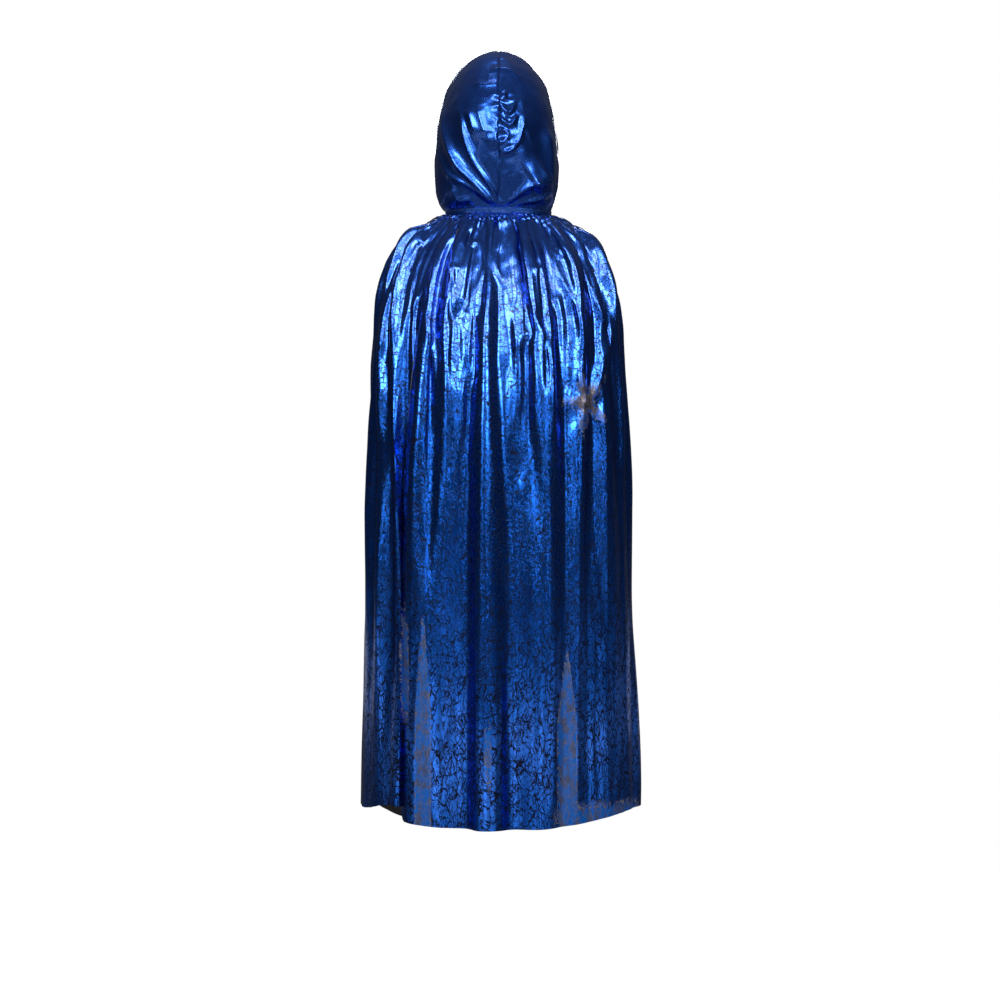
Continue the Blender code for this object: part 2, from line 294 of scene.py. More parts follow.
def normals(grid):
    """Unit normals of a grid of points whose rows run down and whose columns run rightwards."""
    crossed = np.cross(np.gradient(grid, axis=0), np.gradient(grid, axis=1))
    return crossed / np.linalg.norm(crossed, axis=-1, keepdims=True)


def raised(grid, height):
    """The grid moved out along its normals by a height at each point."""
    return grid + normals(grid) * np.asarray(height)[..., None]


def finer(grid, rows, columns):
    """The grid with each step cut into this many, on smooth curves through its points."""
    down = along(grid, np.linspace(0, 1, (grid.shape[0] - 1) * rows + 1))
    across = along(np.swapaxes(down, 0, 1), np.linspace(0, 1, (grid.shape[1] - 1) * columns + 1))
    return np.swapaxes(across, 0, 1)


def wave_noise(points, seed=0.0):
    """Smooth noise from -1 to 1 at each point of a grid, with features about 1 across."""
    values = [noise.noise(Vector(point)) for point in (points.reshape(-1, 3) + 7.3 * seed)]
    return np.array(values).reshape(points.shape[:-1])


def ridge_height(points, ridge):
    """The height that a ridge adds at each point of the back, as seen from behind."""
    height, half_width, *stops = ridge
    line = along(stops, np.linspace(0, 1, 25))
    flat = points[..., [0, 2]]
    near = np.full(flat.shape[:-1], 1e9)
    place = np.zeros(flat.shape[:-1])
    for i, (start, step) in enumerate(zip(line, np.diff(line, axis=0))):
        part = np.clip((flat - start) @ step / (step @ step), 0, 1)
        far = np.linalg.norm(flat - start - part[..., None] * step, axis=-1)
        place = np.where(far < near, (i + part) / (len(line) - 1), place)
        near = np.minimum(near, far)
    taper = smooth(-0.1, 0.25, place) * smooth(-0.15, 0.2, 1 - place)
    near = np.hypot(near, CREST) / half_width
    sharp = np.exp(-(near ** 1.3)) - 0.25 * np.exp(-((near / 2.8) ** 2))
    return height * taper * sharp * smooth(-0.01, 0.02, points[..., 1])


# ---- making pieces ------------------------------------------------------------------------------

def mesh_object(name, grid):
    """A grid of points as quads that face outwards. Its UV map is left to the caller."""
    rows, columns = grid.shape[:2]
    corner = np.arange(rows * columns).reshape(rows, columns)
    quads = np.stack([corner[:-1, :-1], corner[1:, :-1], corner[1:, 1:], corner[:-1, 1:]], axis=-1)
    mesh = bpy.data.meshes.new(name)
    mesh.from_pydata(grid.reshape(-1, 3).tolist(), [], quads.reshape(-1, 4).tolist())
    made = bpy.data.objects.new(name, mesh)
    bpy.context.scene.collection.objects.link(made)
    return made


def cloth_piece(name, grid, cut, finishes, thickness=CLOTH, worn=None):
    """A sheet with a reverse side. cut gives each point's place on the flat cloth, in metres."""
    made = mesh_object(name, grid)
    mesh = made.data
    loops = np.zeros(len(mesh.loops), np.int32)
    mesh.loops.foreach_get("vertex_index", loops)
    layer = mesh.uv_layers.new(name="cut")
    layer.data.foreach_set("uv", cut.reshape(-1, 2)[loops].astype(np.float32).ravel())
    if worn is not None:
        rubbed = mesh.attributes.new("worn", "FLOAT", "POINT")
        rubbed.data.foreach_set("value", worn.astype(np.float32).ravel())
    for finish in finishes:
        mesh.materials.append(finish)
    thick = made.modifiers.new("cloth", "SOLIDIFY")
    thick.thickness = thickness
    thick.offset = -1
    thick.material_offset = len(finishes) - 1
    thick.material_offset_rim = 0
    seen = made.evaluated_get(bpy.context.evaluated_depsgraph_get())
    made.modifiers.clear()
    made.data = bpy.data.meshes.new_from_object(seen)
    made.data.name = name
    made.data.shade_smooth()
    made.data.set_sharp_from_angle(angle=RIM_ANGLE)
    bpy.data.meshes.remove(mesh)
    return made


def stitches(name, line, out):
    """A row of short thread stitches along a line on a sheet, whose normals are out."""
    steps = np.linalg.norm(np.diff(line, axis=0), axis=1)
    place = np.concatenate([[0], np.cumsum(steps)])
    middles = np.arange(STITCH, place[-1] - STITCH, STITCH)
    bm = bmesh.new()
    for at in middles:
        ends = (at - STITCH_HALF, at + STITCH_HALF)
        points = [Vector([np.interp(end, place, line[:, k]) for k in range(3)]) for end in ends]
        up = Vector([np.interp(at, place, out[:, k]) for k in range(3)]).normalized()
        side = (points[1] - points[0]).cross(up).normalized()
        centre = (points[0] + points[1]) / 2
        rim = [centre + side * THREAD_HALF, centre + up * THREAD_HIGH,
               centre - side * THREAD_HALF, centre - up * THREAD_DEEP]
        first, last = bm.verts.new(points[0]), bm.verts.new(points[1])
        ring = [bm.verts.new(point) for point in rim]
        for a, b in zip(ring, ring[1:] + ring[:1]):
            bm.faces.new((first, a, b))
            bm.faces.new((last, b, a))
    mesh = bpy.data.meshes.new(name)
    bm.to_mesh(mesh)
    bm.free()
    mesh.materials.append(thread_painted_highlight)
    made = bpy.data.objects.new(name, mesh)
    bpy.context.scene.collection.objects.link(made)
    return made


def hang(piece, body):
    """Puts a piece on its body, except that a front's or the hood's piece only has its transform baked
    in.
    """
    if body.endswith("_front"):
        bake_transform(piece)
    elif body == "hood":
        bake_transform(piece)
    else:
        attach(piece, body)


# ---- the cape's drape ---------------------------------------------------------------------------

def drape(turn, share):
    """Points of the smooth drape. turn is 0 at the nape and grows to the wearer's left."""
    across, forth = np.sin(turn), np.cos(turn)
    scale = np.array([HALF_WIDTH, BACK_DROP])
    side = along(SIDE_LINE, share) * scale
    back, front = along(BACK_LINE, share) * scale, along(FRONT_LINE, share) * scale
    end = np.where((forth >= 0)[..., None], back, front)
    squareness = 1 - 0.16 * share
    x = side[..., 0] * np.sign(across) * np.abs(across) ** squareness
    y = end[..., 0] * np.sign(forth) * np.abs(forth) ** squareness
    return np.stack([x, y, mix(side[..., 1], end[..., 1], forth**2)], axis=-1)


def cape_places(rows, columns):
    """(turn, share) over a grid that runs from the left front edge, round the back, to the right."""
    share = np.linspace(0, 1, rows)[:, None] * np.ones(columns)
    half_gap = mix(FRONT_GAP_NECK, FRONT_GAP_HEM, share) / 2
    last = math.pi - np.arcsin(half_gap / (along(SIDE_LINE, share)[..., 0] * HALF_WIDTH))
    return np.linspace(1, -1, columns) * last, share


def fold_depth(turn, share):
    """How far the main folds stand out from the drape."""
    degrees = np.degrees(turn)
    depth = np.zeros_like(degrees)
    high, low = smooth(0.02, 0.30, share), smooth(0.38, 0.85, share)
    for i, fold in enumerate(FOLDS):
        down = np.stack([share[:, 0] * 5, np.full(len(share), 3.7 * i), share[:, 0] * 0], axis=-1)
        stray = FOLD_WANDER * wave_noise(down)[:, None]
        swell = 1 + 0.5 * wave_noise(down * 1.3, 2)[:, None]
        middle, width, height = (mix(a, b, low) for a, b in zip(fold[:3], fold[3:]))
        reach = np.abs((degrees - middle - stray) / width)
        depth += np.exp(-(reach ** mix(2.1, 2.6, low))) * height * swell * high
    return depth


def dress_form():
    """A form just inside the drape, and a little longer, which the cloth lies on."""
    turn = np.linspace(math.pi, -math.pi, 72) * np.ones((50, 1))
    share = np.linspace(0, 1.05, 50)[:, None] * np.ones(72)
    return mesh_object("dress_form", raised(drape(turn, share), -FORM_INSET * smooth(0, 0.1, share)))


def settle(piece, pinned, form, frames):
    """Relaxes a piece of cloth over a form with Blender's Cloth, and gives where its points end."""
    pin = piece.vertex_groups.new(name="pin")
    pin.add(pinned, 1.0, "REPLACE")
    cloth = piece.modifiers.new("settle", "CLOTH")
    cloth.settings.vertex_group_mass = "pin"
    cloth.settings.quality = 6
    cloth.settings.mass = 0.02
    cloth.settings.air_damping = 3
    cloth.settings.tension_stiffness = 20
    cloth.settings.compression_stiffness = 12
    cloth.settings.shear_stiffness = 4
    cloth.settings.bending_stiffness = 0.08
    cloth.collision_settings.collision_quality = 2
    cloth.collision_settings.distance_min = 0.003
    form.modifiers.new("touch", "COLLISION")
    form.collision.thickness_outer = 0.002
    form.collision.cloth_friction = 12
    cloth.point_cache.frame_end = frames
    for step in range(1, frames + 1):
        bpy.context.scene.frame_set(step)
    seen = piece.evaluated_get(bpy.context.evaluated_depsgraph_get())
    points = np.zeros(len(seen.data.vertices) * 3)
    seen.data.vertices.foreach_get("co", points)
    bpy.data.objects.remove(piece)
    bpy.data.objects.remove(form)
    bpy.context.scene.frame_set(1)
    return points.reshape(-1, 3)


def settled_cape():
    """The draped cape as a coarse grid of points, relaxed over the dress form."""
    turn, share = cape_places(SIM_ROWS, SIM_COLUMNS)
    seed = raised(drape(turn, share), fold_depth(turn, share))
    points = settle(mesh_object("cape_cloth", seed), list(range(SIM_COLUMNS)), dress_form(), SIM_FRAMES)
    return points.reshape(seed.shape)


def gathered(grid, turn, share):
    """Adds the fine gathers below the neck band, and the small wrinkles all over."""
    places = np.stack([turn * 6, share * 3, np.zeros_like(share)], axis=-1)
    drift = wave_noise(places)
    fine = 2 * np.abs(np.cos(turn * GATHERS / 2 + 1.3 * drift))
    coarse = 2 * np.abs(np.cos(turn * GATHERS * 0.22 + 2.4 * drift + 0.5))
    fine_depth = GATHER_DEPTH * smooth(0.0, 0.09, share) * (1 - smooth(0.05, 0.18, share + 0.06 * drift))
    coarse_depth = BUNCH_DEPTH * smooth(0.02, 0.09, share) * (1 - smooth(0.15, 0.55, share + 0.1 * drift))
    long_folds = LONG_FOLD_DEPTH * wave_noise(places * np.array([2.4, 0.8, 1.0]), 3)
    long_folds = long_folds * smooth(0.1, 0.3, share) * (1 - 0.7 * smooth(0.45, 0.75, share))
    small = WRINKLE_DEPTH * wave_noise(places * np.array([3.5, 9.0, 1.0]), 5)
    pleats = PLEAT_DEPTH * wave_noise(places * np.array([4.5, 0.8, 1.0]), 7)
    pleats = pleats * smooth(0.04, 0.15, share) * (1 - 0.8 * smooth(0.45, 0.75, share))
    creases = sum(ridge_height(grid, crease) for crease in CREASES)
    far, angle = star_place(grid)
    crumple = STAR_CRUMPLE * np.exp(-((far / 1.3) ** 2)) * np.cos(5 * angle) * (grid[..., 1] > 0)
    gathers = fine * fine_depth + coarse * coarse_depth
    return raised(grid, gathers + long_folds + pleats + small + creases + crumple)


def lapped(grid, turn, share):
    """Laps the middle of the back over its left side, low down, and lifts the hem beside the lap."""
    place = (LAP_TURN - turn) / LAP_WIDTH
    deep = smooth(0.42, 0.72, share)
    rightwards = np.gradient(grid, axis=1)
    rightwards /= np.linalg.norm(rightwards, axis=-1, keepdims=True)
    reach = -LAP_REACH * place * np.exp(-(place**2)) / 0.43
    lift = LAP_LIFT * np.tanh(2 * place) * np.exp(-((place / 2.5) ** 2))
    moved = raised(grid, lift * deep) + rightwards * (reach * deep)[..., None]
    corner = LAP_CORNER * smooth(1.15, 0.55, place) * smooth(1.35, 0.80, turn)
    flap = LAP_FLAP * np.exp(-((place / 0.35) ** 2))
    moved[..., 2] += (corner - flap) * smooth(0.85, 1.0, share)
    moved[..., 2] -= FRONT_DROP * smooth(1.75, 2.40, np.abs(turn)) * smooth(0.5, 1.0, share)
    return moved


def star_place(grid):
    """How far each point lies from the middle of the worn star, in its own sizes, and at what angle."""
    star_x, star_z, size = WORN_STAR
    across, down = grid[..., 0] - star_x, (grid[..., 2] - star_z) * 0.65
    return np.hypot(across, down) / size, np.arctan2(down, across)


def worn_places(grid):
    """How much of the foil is gone at each point of the back: 1 is bare, and more is faded too."""
    x, y, z = np.moveaxis(grid, -1, 0)
    worn = np.zeros_like(x)
    for middle, top, foot, half in WORN:
        width = half * np.clip((top - z) / (top - foot) * 2.2, 0.02, 1)
        inside = 1 - smooth(0.75, 1.25, np.abs(x - middle) / width)
        worn = np.maximum(worn, inside * smooth(0, 0.05, top - z) * smooth(-0.03, 0.02, z - foot))
    far, angle = star_place(grid)
    far = far / (0.50 + 0.75 * np.cos(2.5 * angle + 0.3) ** 2) + 0.6 * wave_noise(grid * 90, 8)
    worn = np.maximum(worn, 1.5 - 1.5 * smooth(0.3, 1.3, far))
    low, high, top = WORN_HEM
    hem = smooth(-0.008, 0.008, top - z) * smooth(-0.01, 0.01, x - low) * smooth(-0.01, 0.02, high - x)
    return np.maximum(worn, 0.8 * hem) * (y > 0)


# ---- the hood -----------------------------------------------------------------------------------

def neck_point(turn, rise):
    """Points round the neck, at a height above the neck's own line, which dips at the throat."""
    depth = np.where(np.cos(turn) > 0, NECK_BACK, NECK_FRONT)
    dip = np.where(np.cos(turn) < 0, THROAT_DIP, 0.0) * np.cos(turn) ** 2
    return np.stack([NECK_HALF_WIDTH * np.sin(turn), depth * np.cos(turn), rise - dip], axis=-1)


def hood_places(rows, columns):
    """(across, up): across runs from the left face edge, -1, over the seam, 0, to the right, 1."""
    up = np.linspace(1, 0, rows)[:, None] * np.ones(columns)
    even = np.linspace(-1, 1, columns) * np.ones((rows, 1))
    return mix(even, even**3, HOOD_BUNCH), up


def hood_shape(across, up):
    """Points of the smooth hood."""
    part = np.abs(across)
    seam, wide = along(HOOD_SEAM, up), along(HOOD_SIDE, up)
    throat_turn = math.pi - math.asin(FRONT_GAP_NECK / 2 / NECK_HALF_WIDTH)
    throat = neck_point(np.array(throat_turn), BAND_HEIGHT)
    edge = along(np.vstack([throat, HOOD_FACE]), up)
    angle = np.minimum(part, 0.5) * math.pi
    rise = mix(np.cos(angle) ** 2, np.cos(angle), up)
    back = np.stack([
        wide[..., 0] * np.sin(angle),
        mix(wide[..., 1], seam[..., 0], np.cos(angle)),
        mix(wide[..., 2], seam[..., 1], rise),
    ], axis=-1)
    last = np.arccos(np.clip(edge[..., 0] / wide[..., 0], 0, 1))
    angle = (np.maximum(part, 0.5) - 0.5) * 2 * last
    reach = np.sin(angle) / np.sin(last)
    front = np.stack([
        wide[..., 0] * np.cos(angle),
        mix(wide[..., 1], edge[..., 1], reach),
        mix(wide[..., 2], edge[..., 2], reach**2),
    ], axis=-1)
    point = np.where((part <= 0.5)[..., None], back, front)
    point[..., 0] *= -np.sign(across)
    return point


def draped_hood():
    """The hood with its folds, puckers and centre seam, and each point's place across and up."""
    across, up = hood_places(HOOD_ROWS, HOOD_COLUMNS)
    grid = hood_shape(across, up)
    height = sum(ridge_height(grid, ridge) for ridge in HOOD_RIDGES)
    height = height + HOOD_SWELL * wave_noise(grid * np.array([18, 18, 12]), 2)
    height = height + HOOD_WRINKLE * wave_noise(grid * np.array([60, 60, 45]), 4)
    x, y, z = np.moveaxis(grid, -1, 0)
    puckered = np.exp(-np.abs(x + 0.006) / 0.014) * smooth(-0.02, 0.02, y)
    puckered = puckered * (0.3 + smooth(0.08, 0.10, z) * smooth(0.20, 0.17, z))
    creased = 1 - 2 * np.abs(wave_noise(grid * np.array([48, 62, 62]), 6))
    height = height + HOOD_PUCKER * puckered * creased
    height = height - HOOD_GROOVE * np.exp(-((x / HOOD_GROOVE_HALF) ** 2))
    keep = smooth(0, 0.06, up) * smooth(0, 0.12, 1 - np.abs(across)) * smooth(0, 0.08, 1 - up)
    grid = raised(grid, height * keep)
    grid[..., 0] += HOOD_LEAN * smooth(0.0, 0.09, x) * keep
    return grid, across, up


# ---- materials ----------------------------------------------------------------------------------

class Nodes:
    """A short way to write a material's nodes."""

    def __init__(self, name):
        self.material = bpy.data.materials.new(name)
        self.material.use_nodes = True
        self.tree = self.material.node_tree
        self.shader = self.tree.nodes["Principled BSDF"]

    def new(self, kind, settings=None, **inputs):
        """A new node. Each input is a socket's name, with _ for each space."""
        node = self.tree.nodes.new(kind)
        for key, value in (settings or {}).items():
            setattr(node, key, value)
        for key, value in inputs.items():
            self.put(node, key.replace("_", " "), value)
        return node

    def put(self, node, socket, value):
        """Gives a socket, by its name or number, a value or a link."""
        target = node.inputs[int(socket)] if socket.isdigit() else node.inputs[socket]
        if isinstance(value, bpy.types.NodeSocket):
            self.tree.links.new(value, target)
        else:
            target.default_value = value

    def math(self, operation, a, b=0.0, c=0.0, clamp=False):
        node = self.new("ShaderNodeMath", {"operation": operation, "use_clamp": clamp})
        for i, value in enumerate((a, b, c)):
            self.put(node, str(i), value)
        return node.outputs[0]

    def step(self, value, low, high):
        """0 where value is low, 1 where it is high, smooth between."""
        node = self.new("ShaderNodeMapRange", {"interpolation_type": "SMOOTHSTEP"}, Value=value)
        node.inputs["From Min"].default_value = low
        node.inputs["From Max"].default_value = high
        return node.outputs["Result"]

    def mix(self, share, a, b):
        node = self.new("ShaderNodeMix", {"data_type": "RGBA"})
        self.put(node, "0", share)
        for socket, value in (("6", a), ("7", b)):
            self.put(node, socket, value if isinstance(value, bpy.types.NodeSocket) else (*value, 1.0))
        return node.outputs[2]

    def noise(self, place, scale, detail=2.0, roughness=0.5, distortion=0.0):
        return self.new(
            "ShaderNodeTexNoise", Vector=place, Scale=scale, Detail=detail,
            Roughness=roughness, Distortion=distortion,
        )

    def shade(self, **inputs):
        """Gives the shader its inputs, and gives the finished material."""
        for key, value in inputs.items():
            self.put(self.shader, key.replace("_", " "), value)
        return self.material


def moved(n, place, seed):
    """A place on the cloth, moved and turned so that no two layers of cracks fall together."""
    node = n.new("ShaderNodeMapping", Vector=place, Location=(seed, seed * 0.7, 0.0))
    node.inputs["Rotation"].default_value = (0.0, 0.0, seed)
    return node.outputs[0]


def in_patches(n, line, place, scale, low, high):
    """A line kept only where patches of noise rise from low to high."""
    patches = n.noise(place, scale, 1.0).outputs["Fac"]
    return n.math("MULTIPLY", line, n.step(patches, low, high))


def cracks(n, place, scale, width, seed, kept):
    """Cracks along the edges of cells."""
    at = moved(n, place, seed)
    kind = {"feature": "DISTANCE_TO_EDGE", "voronoi_dimensions": "2D"}
    cells = n.new("ShaderNodeTexVoronoi", kind, Vector=at, Scale=scale)
    line = n.step(cells.outputs["Distance"], width, width * 0.6)
    return in_patches(n, line, at, scale * 0.5, kept, kept + 0.05)


def scribbles(n, place, scale, width, seed):
    """Cracks that wander, along the middle value of a noise."""
    at = moved(n, place, seed)
    off = n.math("SUBTRACT", n.noise(at, scale, 2.0, distortion=1.4).outputs["Fac"], 0.5)
    line = n.step(n.math("ABSOLUTE", off), width, width * 0.6)
    return in_patches(n, line, at, scale * 0.7, 0.46, 0.52)


def crackle(n, place, down):
    """All the cracks together, fewer near the neck."""
    bent = n.new("ShaderNodeVectorMath", {"operation": "MULTIPLY_ADD"})
    n.put(bent, "0", n.noise(place, 100.0, 4.0).outputs["Color"])
    n.put(bent, "1", (0.014, 0.014, 0.0))
    n.put(bent, "2", place)
    crack = n.math("MAXIMUM", *(cracks(n, bent.outputs[0], *layer) for layer in CRACKS))
    for layer in SCRIBBLES:
        crack = n.math("MAXIMUM", crack, scribbles(n, place, *layer))
    return n.math("MULTIPLY", crack, n.math("MULTIPLY_ADD", n.step(down, -0.05, -0.55), 0.80, 0.20))


def foil_colour(n, place, down, rub, worn, crack):
    """Mottled blue, paler higher up as painted light, dark in the cracks, and grey and blue where the
    foil has rubbed off.
    """
    dust = n.mix(n.step(rub, 0.05, 0.40), KNIT_BLACK, CRACK_DUST)
    tone = n.noise(place, 9.0, 3.0).outputs["Fac"]
    # Painted light: the blue runs from the paler upper colour to the deeper lower one down the back.
    blue = n.mix(n.step(down, -0.30, -0.70), n.mix(tone, *FOIL_PAINTED_PALE_UPPER), n.mix(tone, *FOIL_LOWER))
    blotch = n.step(n.noise(place, 95.0, 3.0).outputs["Fac"], 0.38, 0.54)
    rubbed = n.mix(blotch, RUBBED_GREY, n.mix(n.step(down, -0.70, -0.86), *RUBBED_BLUE))
    rubbed = n.mix(n.step(rub, 0.95, 1.2), rubbed, n.mix(blotch, *FADED))
    return n.mix(worn, n.mix(n.math("POWER", crack, 0.6), blue, dust), rubbed)


def foil_material():
    """Blue foil printed on dark knit, broken by fine scribbled cracks and rubbed off in places."""
    n = Nodes("foil_knit")
    place = n.new("ShaderNodeUVMap", {"uv_map": "cut"}).outputs["UV"]
    down = n.new("ShaderNodeSeparateXYZ", Vector=place).outputs["Y"]
    crack = crackle(n, place, down)
    rub = n.new("ShaderNodeAttribute", {"attribute_name": "worn"}).outputs["Fac"]
    speck = n.noise(place, 240.0, 4.0, 0.7).outputs["Fac"]
    worn = n.step(n.math("ADD", rub, n.math("MULTIPLY_ADD", speck, 1.8, -1.0)), 0.40, 0.55)
    worn = n.math("MULTIPLY", worn, n.math("MULTIPLY_ADD", crack, -0.7, 1.0))
    crack = n.math("MULTIPLY", crack, n.math("SUBTRACT", 1.0, worn))

    bare = n.math("MAXIMUM", crack, n.math("MULTIPLY", worn, 0.85), clamp=True)
    metallic = n.math("SUBTRACT", 1.0, n.math("POWER", bare, 2.0))
    grain = n.noise(place, 420.0, 2.0).outputs["Fac"]
    satin = n.step(down, -0.10, -0.02)
    rough = n.math("MULTIPLY_ADD", bare, 0.15, n.math("MULTIPLY_ADD", grain, 0.10, 0.14))
    rough = n.math("MULTIPLY_ADD", satin, 0.07, rough)
    gloss = n.math("MULTIPLY_ADD", n.step(down, -0.30, -0.70), -0.38, 0.58)
    gloss = n.math("MULTIPLY_ADD", satin, -0.26, gloss)
    relief = n.math("MULTIPLY_ADD", crack, -0.18, n.math("MULTIPLY", grain, 0.2))
    relief = n.math("MULTIPLY_ADD", n.noise(place, 55.0, 3.0).outputs["Fac"], 0.35, relief)
    bump = n.new("ShaderNodeBump", Strength=0.20, Distance=0.0012, Height=relief).outputs[0]
    return n.shade(
        Base_Color=foil_colour(n, place, down, rub, worn, crack), Metallic=metallic, Roughness=rough,
        Normal=bump, Specular_IOR_Level=0.06, Coat_Weight=n.math("MULTIPLY", metallic, gloss),
        Coat_Roughness=0.11,
    )


def knit_material():
    """The dark grey reverse of the knit, with its fine ribs."""
    n = Nodes("knit_reverse")
    place = n.new("ShaderNodeUVMap", {"uv_map": "cut"}).outputs["UV"]
    ribs = n.new("ShaderNodeTexWave", Vector=place, Scale=260.0, Distortion=1.2, Detail=1.0)
    ribs = ribs.outputs["Fac"]
    tone = n.noise(place, 30.0, 4.0).outputs["Fac"]
    shade = n.math("MULTIPLY_ADD", tone, 0.5, n.math("MULTIPLY", ribs, 0.5))
    colour = n.mix(shade, (0.018, 0.018, 0.022), (0.055, 0.056, 0.065))
    bump = n.new("ShaderNodeBump", Strength=0.4, Distance=0.0006, Height=ribs).outputs[0]
    return n.shade(
        Base_Color=colour, Roughness=0.82, Normal=bump, Sheen_Weight=0.25, Sheen_Roughness=0.5,
    )


def tape_material():
    """Navy twill tape."""
    n = Nodes("neck_tape")
    place = n.new("ShaderNodeTexCoord").outputs["Object"]
    twill = n.new("ShaderNodeTexWave", {"bands_direction": "DIAGONAL"}, Vector=place, Scale=520.0)
    twill = twill.outputs["Fac"]
    colour = n.mix(twill, (0.006, 0.008, 0.030), (0.018, 0.026, 0.090))
    bump = n.new("ShaderNodeBump", Strength=0.5, Distance=0.0004, Height=twill).outputs[0]
    return n.shade(Base_Color=colour, Roughness=0.75, Normal=bump, Sheen_Weight=0.2)


def hook_material():
    """Black nylon hooks: a fine field of points."""
    n = Nodes("hook_nylon")
    place = n.new("ShaderNodeTexCoord").outputs["Object"]
    points = n.new("ShaderNodeTexVoronoi", Vector=place, Scale=900.0).outputs["Distance"]
    colour = n.mix(points, (0.030, 0.030, 0.034), (0.006, 0.006, 0.007))
    bump = n.new("ShaderNodeBump", Strength=0.8, Distance=0.0006, Height=points).outputs[0]
    return n.shade(Base_Color=colour, Roughness=0.5, Normal=bump)


def pile_material():
    """Navy loop pile: a soft tangle."""
    n = Nodes("loop_pile")
    place = n.new("ShaderNodeTexCoord").outputs["Object"]
    tangle = n.noise(place, 1400.0, 3.0, 0.7).outputs["Fac"]
    colour = n.mix(tangle, (0.004, 0.006, 0.020), (0.030, 0.040, 0.110))
    bump = n.new("ShaderNodeBump", Strength=0.8, Distance=0.0008, Height=tangle).outputs[0]
    return n.shade(Base_Color=colour, Roughness=0.95, Normal=bump, Sheen_Weight=0.5)


def thread_material():
    """Twisted blue sewing thread, made pale so that its stitches paint the highlight along the neck
    band's folded edges.
    """
    n = Nodes("thread_painted_highlight")
    place = n.new("ShaderNodeTexCoord").outputs["Object"]
    twist = n.new("ShaderNodeTexWave", {"bands_direction": "DIAGONAL"}, Vector=place, Scale=1600.0)
    # Painted highlight: this pale blue stands in for the light on the band's folded edges, and shows on
    # every row of stitches.
    colour = n.mix(twist.outputs["Fac"], (0.030, 0.070, 0.240), (0.090, 0.180, 0.480))
    return n.shade(Base_Color=colour, Roughness=0.55, Sheen_Weight=0.3)


foil = foil_material()
reverse = knit_material()
tape = tape_material()
hooks = hook_material()
pile = pile_material()
thread_painted_highlight = thread_material()


# ---- the cape -----------------------------------------------------------------------------------

def trim(node, grid, cut, rows, columns, body, inside):
    """A narrow strip sewn inside part of a finished sheet, in place of a CAD node."""
    inner = raised(grid, np.full(grid.shape[:2], -TRIM_INSET))[rows, columns]
    made = cloth_piece(node + "_cloth", inner, cut[rows, columns], [reverse, inside])
    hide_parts(node)
    hang(made, body)
    return made


def stitch_row(name, grid, rows, columns, body):
    """Stitches along one row or column of a sheet."""
    made = stitches(name, grid[rows, columns], normals(grid)[rows, columns])
    hang(made, body)
    return made


def panel(node, grid, cut, worn, body):
    """A whole panel of foil knit, in place of its CAD node."""
    made = cloth_piece(node.replace("panel", "cloth"), grid, cut, [foil, reverse], worn=worn)
    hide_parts(node)
    hang(made, body)
    return made


def neck_strip(node, turns, rise, height, out, thickness, finishes, body):
    """A strip round the neck. turns run rightwards, and rise is the height of its middle."""
    up = np.linspace(1, -1, STRIP_ROWS)[:, None] / 2
    ends = np.clip(np.linspace(-1, 1, len(turns)) ** 2 * 12 - 11, 0, 1) ** 2
    turn, rise = turns * np.ones((STRIP_ROWS, 1)), rise + up * height * np.sqrt(1 - 0.7 * ends)
    puff = STRIP_PUFF * np.cos(up * math.pi) * np.ones(len(turns))
    places = np.stack([turn * 22, 2 * up * np.ones(len(turns)), np.zeros_like(turn)], axis=-1)
    puff = puff + STRIP_WAVE * wave_noise(places)
    grid = raised(neck_point(turn, rise), out + puff + NECK_LEAN * up)
    cut = np.stack([-turn * NECK_HALF_WIDTH, rise + NECK_CUT_PLACE], axis=-1)
    made = cloth_piece(node + "_strip", grid, cut, finishes, thickness)
    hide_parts(node)
    hang(made, body)
    return made, grid


settled = settled_cape()
rows, columns = [(n - 1) * k + 1 for n, k in zip(settled.shape, (FINE_ROWS, FINE_COLUMNS))]
turn, share = cape_places(rows, columns)
cape = lapped(gathered(finer(settled, FINE_ROWS, FINE_COLUMNS), turn, share), turn, share)
cut_across = np.linspace(0, CUT_WIDTH, columns) * np.ones((rows, 1))
cape_cut = np.stack([cut_across, -share * CUT_LENGTH], axis=-1)
worn = worn_places(cape)

left_end = int(np.argmin(np.abs(turn[rows // 2] - math.pi / 2)))
right_end = columns - 1 - left_end
spans = {
    "left_front": slice(0, left_end + 1),
    "back": slice(left_end, right_end + 1),
    "right_front": slice(right_end, columns),
}
hem = slice(rows - HEM_ROWS, rows)
every = slice(0, rows)

for name, span in spans.items():
    body = "cape_back" if name == "back" else name
    cloth = panel(f"{name}_panel", cape[:, span], cape_cut[:, span], worn[:, span], body)
    sewn = [trim(f"{name}_hem", cape, cape_cut, hem, span, body, reverse)]
    if name == "back":
        seams = (slice(left_end - SEAM_REACH, left_end + SEAM_COLUMNS),
                 slice(right_end + 1 - SEAM_COLUMNS, right_end + 1 + SEAM_REACH))
        for side, seam in zip(("left", "right"), seams):
            sewn.append(trim(f"{side}_side_seam", cape, cape_cut, every, seam, body, foil))
    else:
        edge, row = slice(0, FACING_COLUMNS), FACING_COLUMNS - 1
        if name == "right_front":
            edge, row = slice(columns - FACING_COLUMNS, columns), columns - FACING_COLUMNS
        sewn.append(trim(f"{name}_facing", cape, cape_cut, slice(0, rows - HEM_ROWS), edge, body, foil))
        sewn.append(stitch_row(f"{name}_stitches", cape, every, row, body))

# ---- the hood -----------------------------------------------------------------------------------

